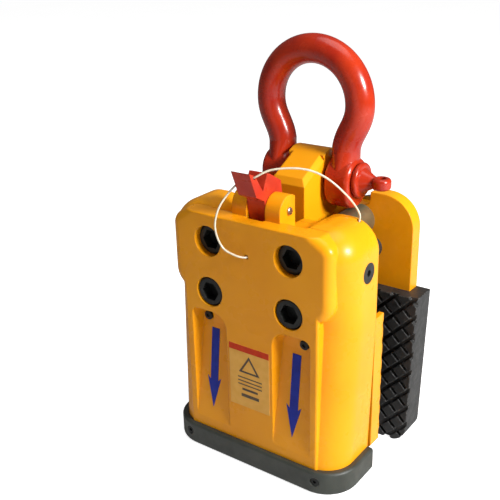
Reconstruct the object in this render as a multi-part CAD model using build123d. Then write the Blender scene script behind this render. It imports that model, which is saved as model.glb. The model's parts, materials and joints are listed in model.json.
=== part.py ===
from build123d import *
from math import atan, cos, pi, sin
import os

# ---------------------------------------------------------------------------
# Vertical slab lifting clamp, built as separate pieces.
# Millimetres. X runs across the clamp, Z is up from the ground.
# Depths (Y) are measured back from the casing's front plane while modelling;
# save() then shifts every piece by SHIFT_Y so the origin is on the ground
# under the middle of the finished clamp.
# ---------------------------------------------------------------------------

# Driving sizes of the casing
HEAD_R = 12.0                # M16 socket head, the size everything is scaled from
SHANK_R = 8.0
CASING_DEPTH = 50.0
BLOCK_HALF = 82.5            # half width above the knee
BODY_HALF = 79.0             # half width at the bottom
CASING_BOTTOM = 8.0
KNEE_Z = 138.0               # the body's front leans back up to here, then forward again
SET_BACK = 8.0               # how far the body stands behind the front plate at the knee
SHOULDER_Z = 186.0           # above this the body's sides run straight
SHOULDER_BACK = 3.0
SHOULDER_TOP = 213.0
LIP_TOP = 211.0
POCKET_FLOOR = 203.0
POCKET_HALF = 38.0
LIP_DEPTH = 15.0
CORNER_R = 24.0
TOP_R = 23.0
WALL = 6.0

# The front plate: a wide head with rounded ends over a narrower stem
HEAD_HALF = 72.0
HEAD_BOTTOM = 143.0
HEAD_CORNER = 12.0           # the upper corners
HEAD_LOBE = 18.0             # the lower corners
HEAD_DEPTH = 22.0
HEAD_ROUND = 7.0
STEM_ROUND = 2.0

# The four tie bolts
BOLT_X = 36.6
UPPER_BOLT_Z = 189.3
LOWER_BOLT_Z = 147.0
UPPER_HEAD_Y = 5.0           # upper heads sit well inside their counterbores
LOWER_HEAD_Y = 1.0           # lower heads sit almost flush
HEAD_LEN = 16.0
PILLAR_R = 12.5

# Front channels, ribs and recess
CHANNEL_IN = 21.5
CHANNEL_OUT = 55.5
CHANNEL_TOP = 130.0
CHANNEL_LEVEL = 116.0        # above this the channel floor is level
CHANNEL_END = 29.0
CHANNEL_DEEP = 9.5
RIB_OUT = 62.0

# Back cover, jaws and pads
COVER_FRONT = 44.0
JAW_FRONT = 52.0
JAW_BACK = 60.5
JAW_HALF = 81.0
JAW_BOTTOM = 16.0
JAW_TOP = 134.0
FRONT_PAD_FACE = 67.0
FRONT_PAD_HALF = 76.5
REAR_PAD_FACE = 96.0
PLATE_FRONT = 108.0
PLATE_BACK = 121.0
PLATE_HALF = 82.0
PLATE_TOP = 212.5
PLATE_BOTTOM = 12.0
PAD_HALF = 94.0
PAD_TAPER = 4.0              # the rear pad is this much narrower each side at the bottom
PAD_CORNER = 14.0
PAD_TOP = 135.5
TREAD_PITCH = 16.5
TREAD_DEEP = 3.0
TREAD_WIDE = 3.0

# Lifting lug and the wedge that closes the jaw
LUG_HALF = 16.0
PIN_Y = 93.5
PIN_Z = 226.0
LUG_EYE_R = 21.5
LUG_BORE_R = 11.4
LUG_TRAVEL = 36.0
JAW_TRAVEL = 28.0
RAMP = JAW_TRAVEL / LUG_TRAVEL
RAMP_ANGLE = atan(RAMP)
CONTACT_Y = 22.0
UPPER_CONTACT_Z = 108.0
LOWER_CONTACT_Z = 64.0
ROLLER_R = 7.5
ROLLER_PIN_R = 5.0
RUN = 0.06                   # radial running clearance

# Latch
LATCH_Y = 25.0
LATCH_Z = 217.0
LATCH_HALF = 8.0
LATCH_PIN_R = 3.0
BOSS_IN = 8.5
BOSS_OUT = 21.5
BOSS_R = 12.5

# Shackle, bow pattern in 22 mm stock
STOCK_R = 11.2
BOW_HALF_INNER = 29.0
EYE_GAP_HALF = 18.3
EYE_R = 17.0
EYE_DROP = 6.4               # the eye is drawn out downwards by this much
EYE_THICK = 22.2
SHACKLE_PIN_R = 10.5
BOW_INSIDE = 75.7

FRONT_EXTENT = -11.786       # the release wire's loop reaches furthest forward
BACK_EXTENT = 134.0          # the rear bolt heads reach furthest back
SHIFT_Y = -(FRONT_EXTENT + BACK_EXTENT) / 2


# ----------------------------- helpers -------------------------------------
def box(x0, x1, y0, y1, z0, z1):
    """A block between two corners."""
    centre = Pos((x0 + x1) / 2, (y0 + y1) / 2, (z0 + z1) / 2)
    return centre * Box(x1 - x0, y1 - y0, z1 - z0)


def rod_x(x0, x1, y, z, r):
    """A round bar along X."""
    return Pos((x0 + x1) / 2, y, z) * Rot(0, 90, 0) * Cylinder(r, x1 - x0)


def rod_y(x, y0, y1, z, r):
    """A round bar along Y."""
    return Pos(x, (y0 + y1) / 2, z) * Rot(-90, 0, 0) * Cylinder(r, y1 - y0)


def cone_y(x, y0, y1, z, r0, r1):
    """A cone along Y, r0 at y0 and r1 at y1."""
    return Pos(x, (y0 + y1) / 2, z) * Rot(-90, 0, 0) * Cone(r0, r1, y1 - y0)


def cone_x(x0, x1, y, z, r0, r1):
    """A cone along X, r0 at x0 and r1 at x1."""
    return Pos((x0 + x1) / 2, y, z) * Rot(0, 90, 0) * Cone(r0, r1, x1 - x0)


def rod_between(start, end, r, extra):
    """A round bar between two points, longer by extra at both ends."""
    run = Vector(*end) - Vector(*start)
    bar = Cylinder(r, run.length + 2 * extra, align=(Align.CENTER, Align.CENTER, Align.MIN))
    origin = Vector(*start) - run.normalized() * extra
    return Plane(origin=origin, z_dir=run) * bar


def hex_y(x, y0, y1, z, across):
    """A hexagonal prism along Y."""
    flat = Plane.XZ * RegularPolygon(across / 2, 6, major_radius=False)
    return Pos(x, y1, z) * extrude(flat, y1 - y0)


def side_profile(points, half):
    """A (Y, Z) outline extruded both ways along X."""
    face = make_face(Plane.YZ * Polyline(*points, close=True))
    return extrude(face, half, both=True)


def front_profile(face, y0, y1):
    """An (X, Z) face drawn in the XZ plane, extruded from y0 to y1."""
    return Pos(0, y1, 0) * extrude(Plane.XZ * face, y1 - y0)


def other_side(shape):
    """The same piece mirrored across the centre plane."""
    return mirror(shape, about=Plane.YZ)


def pair(shape):
    """A piece and its mirror image as separate solids."""
    return [shape, other_side(shape)]


def save(pieces, node):
    """Write one node; a list holds several separate solids."""
    group = pieces if isinstance(pieces, list) else [pieces]
    solids = [solid for piece in group for solid in piece.solids()]
    shape = solids[0] if len(solids) == 1 else Compound(children=solids)
    export_step(Pos(0, SHIFT_Y, 0) * shape, "parts/" + node + ".step")


def socket_bolt(x, z, head_y, length):
    """Socket-head bolt pointing back, with its hex socket."""
    head = rod_y(x, head_y, head_y + HEAD_LEN, z, HEAD_R)
    head = chamfer(head.edges().filter_by(GeomType.CIRCLE).group_by(Axis.Y)[0], 1.2)
    shank_start = head_y + HEAD_LEN
    shank = rod_y(x, shank_start, shank_start + length, z, SHANK_R)
    socket = hex_y(x, head_y - 1, head_y + 8, z, 14.0)
    return head + shank - socket


def csk_screw_back(x, z, face_y, r, length, direction):
    """Countersunk screw entering along Y from face_y; direction is +1 back, -1 forward."""
    head_len = r
    low, high = sorted((face_y, face_y + direction * head_len))
    wide_low = 2 * r if direction > 0 else r
    wide_high = r if direction > 0 else 2 * r
    head = cone_y(x, low, high, z, wide_low, wide_high)
    tip = face_y + direction * length
    start = face_y + direction * head_len
    shank = rod_y(x, min(start, tip), max(start, tip), z, r)
    socket_end = face_y + direction * r * 0.8
    socket = hex_y(x, min(face_y, socket_end), max(face_y, socket_end), z, 1.6 * r)
    return head + shank - socket


def csk_hole(x, z, face_y, r, length, direction):
    """The hole a csk_screw_back sits in, with a little clearance."""
    gap = 0.1
    head_len = r
    low, high = sorted((face_y - direction * 0.01, face_y + direction * head_len))
    wide_low = 2 * r + gap if direction > 0 else r + gap
    wide_high = r + gap if direction > 0 else 2 * r + gap
    tip = face_y + direction * (length + 0.5)
    shank = rod_y(x, min(face_y, tip), max(face_y, tip), z, r + gap)
    return cone_y(x, low, high, z, wide_low, wide_high) + shank


# ----------------------------- casing shell --------------------------------
COVER_SCREWS = [(68.0, 21.0), (68.0, 82.0), (68.0, 128.0), (58.0, 199.0), (30.0, 14.0)]
COVER_SCREW_R = 2.5
COVER_SCREW_LEN = 16.0
GUIDE_ROD_X = 61.0
GUIDE_ROD_Z = (42.0, 106.0)
GUIDE_ROD_R = 6.0
BUSH_R = 8.5
HOUSING_R = 11.0
HOUSING_FRONT = 27.0
SIDE_SCREW_Y = 36.0
SIDE_SCREW_Z = 178.0
SIDE_SCREW_R = 4.0
SPRING_X = 43.0
SPRING_Z = 92.0
HOLLOW_FRONT_HALF = 68.0
HOLLOW_FRONT_Y = 15.0
HOLLOW_CORNER_Y = 22.0
SPRING_WINDOW_R = 7.5        # hole in the back cover that a return spring passes through
CHANNEL_SCREW = (45.5, 121.0)


def body_section(half, front):
    """A level section of the casing: rounded front corners, square back corners."""
    outline = Polyline((-half, CASING_DEPTH), (-half, front), (half, front), (half, CASING_DEPTH), close=True)
    face = make_face(outline)
    return fillet(face.vertices().group_by(Axis.Y)[0], CORNER_R)


def casing_body():
    """The main body: its front leans back up to the knee and its shoulders are round."""
    foot = Pos(0, 0, CASING_BOTTOM) * body_section(BODY_HALF, 0)
    knee = Pos(0, 0, KNEE_Z) * body_section(BLOCK_HALF, SET_BACK)
    shoulder = Pos(0, 0, SHOULDER_Z) * body_section(BLOCK_HALF, SHOULDER_BACK)
    upper = extrude(shoulder, SHOULDER_TOP - SHOULDER_Z)
    top = upper.faces().sort_by(Axis.Z)[-1]
    rim = [e for e in top.edges() if e.center().Y < CASING_DEPTH - 0.1]
    return loft([foot, knee, shoulder], ruled=True) + fillet(rim, TOP_R)


def front_stem():
    """The narrow lower part of the front plate; its edges are the outer ribs."""
    stem = box(-RIB_OUT, RIB_OUT, 0, HEAD_DEPTH, CASING_BOTTOM, HEAD_BOTTOM + 15)
    return fillet(stem.edges().filter_by(Axis.Z).group_by(Axis.Y)[0], STEM_ROUND)


def front_head():
    """The wide upper part of the front plate, with a crisp top edge between round ends."""
    lip_end = HEAD_HALF - HEAD_CORNER
    low_end = HEAD_HALF - HEAD_LOBE
    low = HEAD_BOTTOM + HEAD_LOBE
    high = LIP_TOP - HEAD_CORNER - 2
    lip = Line((-lip_end, LIP_TOP), (lip_end, LIP_TOP))
    right = Spline((lip_end, LIP_TOP), (HEAD_HALF, high), tangents=[(1, -0.6), (0, -1)])
    right_side = Line((HEAD_HALF, high), (HEAD_HALF, low))
    right_low = RadiusArc((HEAD_HALF, low), (low_end, HEAD_BOTTOM), HEAD_LOBE)
    bottom = Line((low_end, HEAD_BOTTOM), (-low_end, HEAD_BOTTOM))
    left_low = RadiusArc((-low_end, HEAD_BOTTOM), (-HEAD_HALF, low), HEAD_LOBE)
    left_side = Line((-HEAD_HALF, low), (-HEAD_HALF, high))
    left = Spline((-HEAD_HALF, high), (-lip_end, LIP_TOP), tangents=[(0, 1), (1, 0.6)])
    outline = [lip, right, right_side, right_low, bottom, left_low, left_side, left]
    head = front_profile(make_face(outline), 0, HEAD_DEPTH)
    front = head.edges().group_by(Axis.Y)[0].sort_by(Axis.Z)
    head = fillet(front[:-1], HEAD_ROUND)
    crisp = head.edges().filter_by(Axis.X).group_by(Axis.Y)[0].sort_by(Axis.Z)[-1]
    return chamfer(crisp, 0.8)


def top_pocket():
    """The open pocket behind the lip, with flared side walls."""
    flare = POCKET_HALF + 14
    high = SHOULDER_TOP + 5
    floor = Line((-POCKET_HALF, POCKET_FLOOR), (POCKET_HALF, POCKET_FLOOR))
    right = Spline((POCKET_HALF, POCKET_FLOOR), (flare, SHOULDER_TOP), tangents=[(0.1, 1), (1, 0.1)])
    left = Spline((-flare, SHOULDER_TOP), (-POCKET_HALF, POCKET_FLOOR), tangents=[(1, -0.1), (0.1, -1)])
    lid = Polyline((flare, SHOULDER_TOP), (flare, high), (-flare, high), (-flare, SHOULDER_TOP))
    return front_profile(make_face([floor, right, lid, left]), LIP_DEPTH, CASING_DEPTH + 1)


def top_saddle():
    """Levels the body's top with the front lip between the shoulders."""
    edge = HEAD_HALF - HEAD_CORNER
    return box(-edge, edge, -1, LIP_DEPTH + 2, LIP_TOP, SHOULDER_TOP + 5)


def channel_cut():
    """One front channel: square-topped with round corners, its floor fading out downwards."""
    low = CHANNEL_END - 10
    centre = Pos((CHANNEL_IN + CHANNEL_OUT) / 2, (CHANNEL_TOP + low) / 2)
    flat = centre * Rectangle(CHANNEL_OUT - CHANNEL_IN, CHANNEL_TOP - low)
    top = flat.vertices().group_by(Axis.Y)[-1].sort_by(Axis.X)
    flat = fillet(top[0], 13.0)
    flat = fillet(flat.vertices().group_by(Axis.Y)[-1].sort_by(Axis.X)[-1], 6.0)
    # drawn on the front plane and pushed back with drafted walls
    plane = Plane(origin=(0, 0, 0), x_dir=(-1, 0, 0), z_dir=(0, 1, 0))
    drafted = extrude(plane * mirror(flat, about=Plane.YZ), CHANNEL_DEEP, taper=24)
    ramp = side_profile(
        [(-1, CHANNEL_END), (0, CHANNEL_END), (CHANNEL_DEEP, CHANNEL_LEVEL),
         (CHANNEL_DEEP, CHANNEL_TOP + 5), (-1, CHANNEL_TOP + 5)], 100)
    return drafted & ramp


def latch_bosses():
    """The two round-topped ears that carry the latch pin."""
    ears = None
    for x0 in (BOSS_IN, -BOSS_OUT):
        x1 = x0 + BOSS_OUT - BOSS_IN
        ear = box(x0, x1, LATCH_Y - BOSS_R, LATCH_Y + 8, POCKET_FLOOR - WALL, LATCH_Z)
        ear += rod_x(x0, x1, LATCH_Y, LATCH_Z, BOSS_R) & box(x0, x1, 0, LATCH_Y + 8, LATCH_Z - 1, 300)
        ears = ear if ears is None else ears + ear
    return ears


def casing_shell():
    outer = casing_body() - top_saddle() + front_stem() + front_head()
    outer -= top_pocket()
    # hollow inside: narrower at the front where the corners are round, plus a groove for the lug stem
    top = POCKET_FLOOR - WALL
    bottom = CASING_BOTTOM + WALL
    inside = box(-BODY_HALF + WALL, BODY_HALF - WALL, HOLLOW_CORNER_Y, CASING_DEPTH + 1, bottom, top)
    inside += box(-HOLLOW_FRONT_HALF, HOLLOW_FRONT_HALF, HOLLOW_FRONT_Y, CASING_DEPTH + 1, bottom, top)
    inside += box(-LUG_HALF - 1.5, LUG_HALF + 1.5, WALL, HOLLOW_FRONT_Y + 1, bottom, top)
    pillars = None
    for z in (UPPER_BOLT_Z, LOWER_BOLT_Z):
        for x in (-BOLT_X, BOLT_X):
            pillar = rod_y(x, 0, COVER_FRONT, z, PILLAR_R)
            pillars = pillar if pillars is None else pillars + pillar
    for x, z in COVER_SCREWS:
        pillar = rod_y(x, CHANNEL_DEEP + 5, COVER_FRONT, z, 6.0)
        pillars += pillar + other_side(pillar)
    shell = outer - (inside - pillars)
    # seat for the back cover
    shell -= cover_plate(0.0)
    shell += latch_bosses()
    cut = channel_cut()
    shell = shell - cut - other_side(cut)
    # the lug needs a slot through the pocket floor when it rises
    shell -= box(-LUG_HALF - 1.5, LUG_HALF + 1.5, LATCH_Y + 9, CASING_DEPTH + 1, POCKET_FLOOR - 20, 300)
    # the latch toe swings in a slot between the ears
    shell -= box(-LATCH_HALF - 0.5, LATCH_HALF + 0.5, 10.0, LATCH_Y + 9, POCKET_FLOOR - WALL - 1, 300)
    for x in (-BOLT_X, BOLT_X):
        for z, head_y in ((UPPER_BOLT_Z, UPPER_HEAD_Y), (LOWER_BOLT_Z, LOWER_HEAD_Y)):
            shell -= rod_y(x, -1, head_y + HEAD_LEN, z, HEAD_R + 0.4)
            shell -= rod_y(x, head_y, CASING_DEPTH + 1, z, SHANK_R + 0.3)
    for x, z in COVER_SCREWS:
        hole = rod_y(x, CASING_DEPTH - COVER_SCREW_LEN - 1, CASING_DEPTH, z, COVER_SCREW_R + 0.1)
        shell = shell - hole - other_side(hole)
    hole = cone_x(BLOCK_HALF - SIDE_SCREW_R, BLOCK_HALF + 0.01, SIDE_SCREW_Y, SIDE_SCREW_Z,
                  SIDE_SCREW_R + 0.1, 2 * SIDE_SCREW_R + 0.1)
    hole += rod_x(BODY_HALF - 20, BLOCK_HALF, SIDE_SCREW_Y, SIDE_SCREW_Z, SIDE_SCREW_R + 0.1)
    shell = shell - hole - other_side(hole)
    channel_hole = rod_y(CHANNEL_SCREW[0], 0, CHANNEL_DEEP + 8, CHANNEL_SCREW[1], 2.6)
    shell = shell - channel_hole - other_side(channel_hole)
    post_hole = rod_y(SPRING_X, CHANNEL_DEEP + 2, CHANNEL_DEEP + 6, SPRING_Z, 3.05)
    shell = shell - post_hole - other_side(post_hole)
    shell -= rod_x(-BOSS_OUT - 1, BOSS_OUT + 1, LATCH_Y, LATCH_Z, LATCH_PIN_R + RUN)
    shell -= rod_y(0, -1, WALL - 2, WIRE_HOLE_Z, 1.7)
    shell -= wear_plate()
    for hole in foot_screw_holes():
        shell -= hole
    return shell - anchor_hole()


# ----------------------------- back cover ----------------------------------
WINDOW_HALF = 38.5
WINDOW_BOTTOM = 22.0
WINDOW_TOP = 130.0
COVER_RIM = 5.0              # casing wall left beside the cover
COVER_TOP = POCKET_FLOOR + 2


def cover_plate(gap):
    """The cover's outline, lying inside the casing's back edge."""
    half = BODY_HALF - COVER_RIM - gap
    return box(-half, half, COVER_FRONT, CASING_DEPTH, CASING_BOTTOM + gap, COVER_TOP)


def casing_back_cover():
    cover = cover_plate(0.2)
    for z in GUIDE_ROD_Z:
        housing = rod_y(GUIDE_ROD_X, HOUSING_FRONT, COVER_FRONT + 1, z, HOUSING_R)
        cover += housing + other_side(housing)
    block = box(60.0, BODY_HALF - WALL - 0.2, SIDE_SCREW_Y - 9, COVER_FRONT + 1,
                SIDE_SCREW_Z - 9, SIDE_SCREW_Z + 9)
    cover += block + other_side(block)
    cover -= box(-WINDOW_HALF, WINDOW_HALF, 0, 100, WINDOW_BOTTOM, WINDOW_TOP)
    cover -= box(-LUG_HALF - 1.5, LUG_HALF + 1.5, 0, 100, WINDOW_TOP - 1, 300)
    # lower the cover to the pocket floor between the shoulders
    cover -= top_pocket()
    for z in GUIDE_ROD_Z:
        bore = rod_y(GUIDE_ROD_X, 0, 100, z, BUSH_R)
        cover = cover - bore - other_side(bore)
    for x in (-BOLT_X, BOLT_X):
        for z in (UPPER_BOLT_Z, LOWER_BOLT_Z):
            cover -= rod_y(x, 0, 100, z, SHANK_R + 0.3)
    for x, z in COVER_SCREWS:
        hole = csk_hole(x, z, CASING_DEPTH, COVER_SCREW_R, COVER_SCREW_LEN, -1)
        cover = cover - hole - other_side(hole)
    bore = rod_x(50, 100, SIDE_SCREW_Y, SIDE_SCREW_Z, SIDE_SCREW_R + 0.05)
    cover = cover - bore - other_side(bore)
    for x, z in GUIDE_BLOCK_SCREWS:
        cover -= csk_hole(x, z, CASING_DEPTH, 2.0, 14.0, -1)
    window = rod_y(SPRING_X, 0, 100, SPRING_Z, SPRING_WINDOW_R)
    return cover - window - other_side(window)


def cover_screws():
    out = []
    for x, z in COVER_SCREWS:
        out += pair(csk_screw_back(x, z, CASING_DEPTH, COVER_SCREW_R, COVER_SCREW_LEN, -1))
    return out


def side_screws():
    head = cone_x(BLOCK_HALF - SIDE_SCREW_R, BLOCK_HALF, SIDE_SCREW_Y, SIDE_SCREW_Z,
                  SIDE_SCREW_R, 2 * SIDE_SCREW_R)
    shank = rod_x(63.0, BLOCK_HALF - SIDE_SCREW_R, SIDE_SCREW_Y, SIDE_SCREW_Z, SIDE_SCREW_R)
    socket = Pos(BLOCK_HALF - 3.5, SIDE_SCREW_Y, SIDE_SCREW_Z) * extrude(
        Plane.YZ * RegularPolygon(2.5, 6, major_radius=False), 4)
    return pair(head + shank - socket)


# ----------------------------- lug guides ----------------------------------
GUIDE_BLOCK_SCREWS = [(s * 20.6, z) for s in (-1, 1) for z in (136.0, 168.0)]
GUIDE_RIB_HALF = 19.0
GUIDE_RIB_Y = (22.0, 30.0)
GUIDE_RIB_Z = (131.0, 151.0)
GUIDE_BLOCK_BOTTOM = 129.0


def wear_plate():
    """Flat strip the front of the lug stem slides on."""
    return box(-LUG_HALF, LUG_HALF, WALL - 1.5, 8.0 - RUN, 20.0, 190.0)


def lug_guide_blocks():
    block = box(LUG_HALF + RUN, 23.8, 16.0, COVER_FRONT, GUIDE_BLOCK_BOTTOM, POCKET_FLOOR - WALL - 0.5)
    block -= box(0, GUIDE_RIB_HALF + RUN, GUIDE_RIB_Y[0] - RUN, GUIDE_RIB_Y[1] + RUN, 0, 300)
    block -= csk_hole(20.6, 136.0, CASING_DEPTH, 2.0, 14.0, -1)
    block -= csk_hole(20.6, 168.0, CASING_DEPTH, 2.0, 14.0, -1)
    for z in (UPPER_BOLT_Z, LOWER_BOLT_Z):
        block -= rod_y(BOLT_X, 0, 100, z, PILLAR_R + 0.3)
    return pair(block)


def guide_block_screws():
    return [csk_screw_back(x, z, CASING_DEPTH, 2.0, 14.0, -1) for x, z in GUIDE_BLOCK_SCREWS]


# ----------------------------- foot ----------------------------------------
FOOT_TOP = 20.0
FOOT_GROW_FRONT = 4.0
FOOT_GROW_SIDE = 5.5
FOOT_BACK = 50.0
FOOT_SCREW_R = 2.0
FOOT_SCREWS_FRONT = 62.0
FOOT_SCREW_Z = 11.5


def foot_bumper():
    half = BODY_HALF + FOOT_GROW_SIDE
    outline = Polyline((-half, FOOT_BACK), (-half, -FOOT_GROW_FRONT), (half, -FOOT_GROW_FRONT),
                       (half, FOOT_BACK), close=True)
    face = make_face(outline)
    face = fillet(face.vertices().group_by(Axis.Y)[0], CORNER_R + 4)
    shoe = extrude(face, FOOT_TOP)
    rim = [e for e in shoe.edges().group_by(Axis.Z)[-1] if e.center().Y < FOOT_BACK - 0.1]
    shoe = fillet(rim, 2.5)
    base = [e for e in shoe.edges().group_by(Axis.Z)[0] if e.center().Y < FOOT_BACK - 0.1]
    shoe = fillet(base, 3.0)
    shoe = shoe - casing_body() - front_stem()
    for hole in foot_screw_holes():
        shoe -= hole
    return shoe


def foot_screw_spots():
    """One screw near each end of the shoe's front face."""
    return [(x, -FOOT_GROW_FRONT, FOOT_SCREW_Z) for x in (FOOT_SCREWS_FRONT, -FOOT_SCREWS_FRONT)]


def foot_screws():
    out = []
    for x, y, z in foot_screw_spots():
        head = rod_y(x, y + 1.0, y + 3.0, z, 3.6)
        shank = rod_y(x, y + 3.0, y + 16.0, z, FOOT_SCREW_R)
        out.append(head + shank - hex_y(x, y, y + 2.2, z, 2.5))
    return out


def foot_screw_holes():
    out = []
    for x, y, z in foot_screw_spots():
        out.append(rod_y(x, y - 1, y + 3.0, z, 3.8) + rod_y(x, y, y + 16.5, z, FOOT_SCREW_R + 0.05))
    return out


# ----------------------------- tie bars and bolts --------------------------
UPPER_BAR_R = 12.5
LOWER_BAR_R = 11.0
BOLT_INTO_BAR = 24.0
REAR_HEAD_LEN = 10.0
WASHER_T = 3.0
SEAT_GAP = 0.02              # paint thickness left at the bar's rear seat


def tie_bolts(z, head_y):
    length = CASING_DEPTH + BOLT_INTO_BAR - head_y - HEAD_LEN
    return [socket_bolt(x, z, head_y, length) for x in (-BOLT_X, BOLT_X)]


def tie_bars(z, r):
    """Solid spacer bars between the back cover and the rear plate, tapped at both ends."""
    out = []
    for x in (-BOLT_X, BOLT_X):
        bar = rod_y(x, CASING_DEPTH, PLATE_FRONT - SEAT_GAP, z, r)
        bar = chamfer(bar.edges().filter_by(GeomType.CIRCLE), 1.0)
        bar -= rod_y(x, CASING_DEPTH - 1, CASING_DEPTH + BOLT_INTO_BAR + 1, z, SHANK_R + 0.05)
        bar -= rod_y(x, PLATE_FRONT - BOLT_INTO_BAR - 1, PLATE_FRONT + 1, z, SHANK_R + 0.05)
        out.append(bar)
    return out


def rear_tie_bolts():
    """Hexagon-head bolts through the rear plate into the bars."""
    out = []
    for x in (-BOLT_X, BOLT_X):
        for z in (UPPER_BOLT_Z, LOWER_BOLT_Z):
            start = PLATE_BACK + WASHER_T
            head = hex_y(x, start, start + REAR_HEAD_LEN, z, 24.0)
            dome = cone_y(x, start, start + REAR_HEAD_LEN, z, 22.0, 12.2)
            shank = rod_y(x, PLATE_FRONT - BOLT_INTO_BAR, start + 1, z, SHANK_R)
            out.append((head & dome) + shank)
    return out


def rear_washers():
    out = []
    for x in (-BOLT_X, BOLT_X):
        for z in (UPPER_BOLT_Z, LOWER_BOLT_Z):
            ring = rod_y(x, PLATE_BACK, PLATE_BACK + WASHER_T, z, 15.0)
            out.append(ring - rod_y(x, 0, 200, z, SHANK_R + 0.4))
    return out


# ----------------------------- rear jaw ------------------------------------
REAR_PAD_SCREWS = [(x, z) for x in (-55.0, 0.0, 55.0) for z in (40.0, 105.0)]
PAD_SCREW_R = 3.0
NOTCH_HALF = 44.0
NOTCH_FLOOR = 201.0
BUFFER_X = 47.0
BUFFER_Z = 167.0
BUFFER_R = 9.0
BUFFER_FRONT = 88.0


def rear_jaw_plate():
    centre_z = (PLATE_TOP + PLATE_BOTTOM) / 2
    face = Pos(0, centre_z) * Rectangle(2 * PLATE_HALF, PLATE_TOP - PLATE_BOTTOM)
    top = face.vertices().group_by(Axis.Y)[-1]
    face = fillet(top, 26.0)
    face = chamfer(face.vertices().group_by(Axis.Y)[0], 22.0)
    notch = Pos(0, NOTCH_FLOOR + 10) * Rectangle(2 * NOTCH_HALF, 20)
    notch = fillet(notch.vertices().group_by(Axis.Y)[0], 6.0)
    plate = front_profile(face - notch, PLATE_FRONT, PLATE_BACK)
    for x in (-BOLT_X, BOLT_X):
        for z in (UPPER_BOLT_Z, LOWER_BOLT_Z):
            plate -= rod_y(x, 0, 200, z, SHANK_R + 0.3)
    for x, z in REAR_PAD_SCREWS:
        plate -= csk_hole(x, z, PLATE_BACK, PAD_SCREW_R, 18.0, -1)
    for x in (-BUFFER_X, BUFFER_X):
        plate -= csk_hole(x, BUFFER_Z, PLATE_BACK, PAD_SCREW_R, 22.0, -1)
    return plate


def tread_grooves(half, z0, z1, face_y):
    """Crossing diagonal grooves; diamonds stay standing between them."""
    middle = (z0 + z1) / 2
    reach = half + (z1 - z0) / 2
    count = int(reach / TREAD_PITCH) + 1
    long = 2 * reach
    cuts = []
    for step in range(-count, count + 1):
        for lean in (45, -45):
            bar = Box(long, 2 * TREAD_DEEP, TREAD_WIDE)
            cuts.append(Pos((step + 0.5) * TREAD_PITCH, face_y, middle) * Rot(0, lean, 0) * bar)
    return cuts


def rear_pad():
    """Rubber shoe that wraps the lower half of the rear plate."""
    low_half = PAD_HALF - PAD_TAPER
    outline = Polyline((-PAD_HALF, PAD_TOP), (PAD_HALF, PAD_TOP), (low_half, 0), (-low_half, 0), close=True)
    face = make_face(outline)
    face = fillet(face.vertices().group_by(Axis.Y)[0], PAD_CORNER)
    pad = front_profile(face, REAR_PAD_FACE, PLATE_BACK)
    hold = Pos(0, PLATE_BOTTOM + 100) * Rectangle(2 * PLATE_HALF, 200)
    hold = chamfer(hold.vertices().group_by(Axis.Y)[0], 22.0)
    pad -= front_profile(hold, PLATE_FRONT, PLATE_BACK + 1)
    for cut in tread_grooves(PAD_HALF, 0, PAD_TOP, REAR_PAD_FACE):
        pad -= cut
    for x, z in REAR_PAD_SCREWS:
        pad -= csk_hole(x, z, PLATE_BACK, PAD_SCREW_R, 18.0, -1)
    return pad


def rear_pad_screws():
    return [csk_screw_back(x, z, PLATE_BACK, PAD_SCREW_R, 18.0, -1) for x, z in REAR_PAD_SCREWS]


def slab_buffers():
    out = []
    for x in (-BUFFER_X, BUFFER_X):
        buffer = rod_y(x, BUFFER_FRONT, PLATE_FRONT, BUFFER_Z, BUFFER_R)
        buffer = fillet(buffer.edges().filter_by(GeomType.CIRCLE).group_by(Axis.Y)[0], 2.0)
        out.append(buffer - csk_hole(x, BUFFER_Z, PLATE_BACK, PAD_SCREW_R, 22.0, -1))
    return out


def buffer_screws():
    return [csk_screw_back(x, BUFFER_Z, PLATE_BACK, PAD_SCREW_R, 22.0, -1) for x in (-BUFFER_X, BUFFER_X)]


# ----------------------------- front jaw -----------------------------------
FRONT_PAD_SCREWS = [(x, z) for x in (-48.0, 0.0, 48.0) for z in (32.0, 122.0)]
FRONT_PAD_SCREW_LEN = 12.0
CHEEK_IN = 17.2
CHEEK_OUT = 23.0
FLANGE_OUT = 37.0
FLANGE_T = 5.0
BRACKET_HIGH = 15.0
CHEEK_FRONT_OF_ROLLER = 8.0
RIM_T = 4.0                  # rims down both edges of the jaw plate hold the pad
RIM_BACK = 65.5
WAVE_COUNT = 8
WAVE_PITCH = 14.0
WAVE_LOW = 26.0
WAVE_R = 9.0
WAVE_DEEP = 0.9


def roller_centre(contact_z):
    """Where a roller sits when it touches the ramp with the jaw open."""
    reach = ROLLER_R + RUN
    return CONTACT_Y + reach * cos(RAMP_ANGLE), contact_z + reach * sin(RAMP_ANGLE)


def roller_heights():
    return [roller_centre(z) for z in (UPPER_CONTACT_Z, LOWER_CONTACT_Z)]


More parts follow.
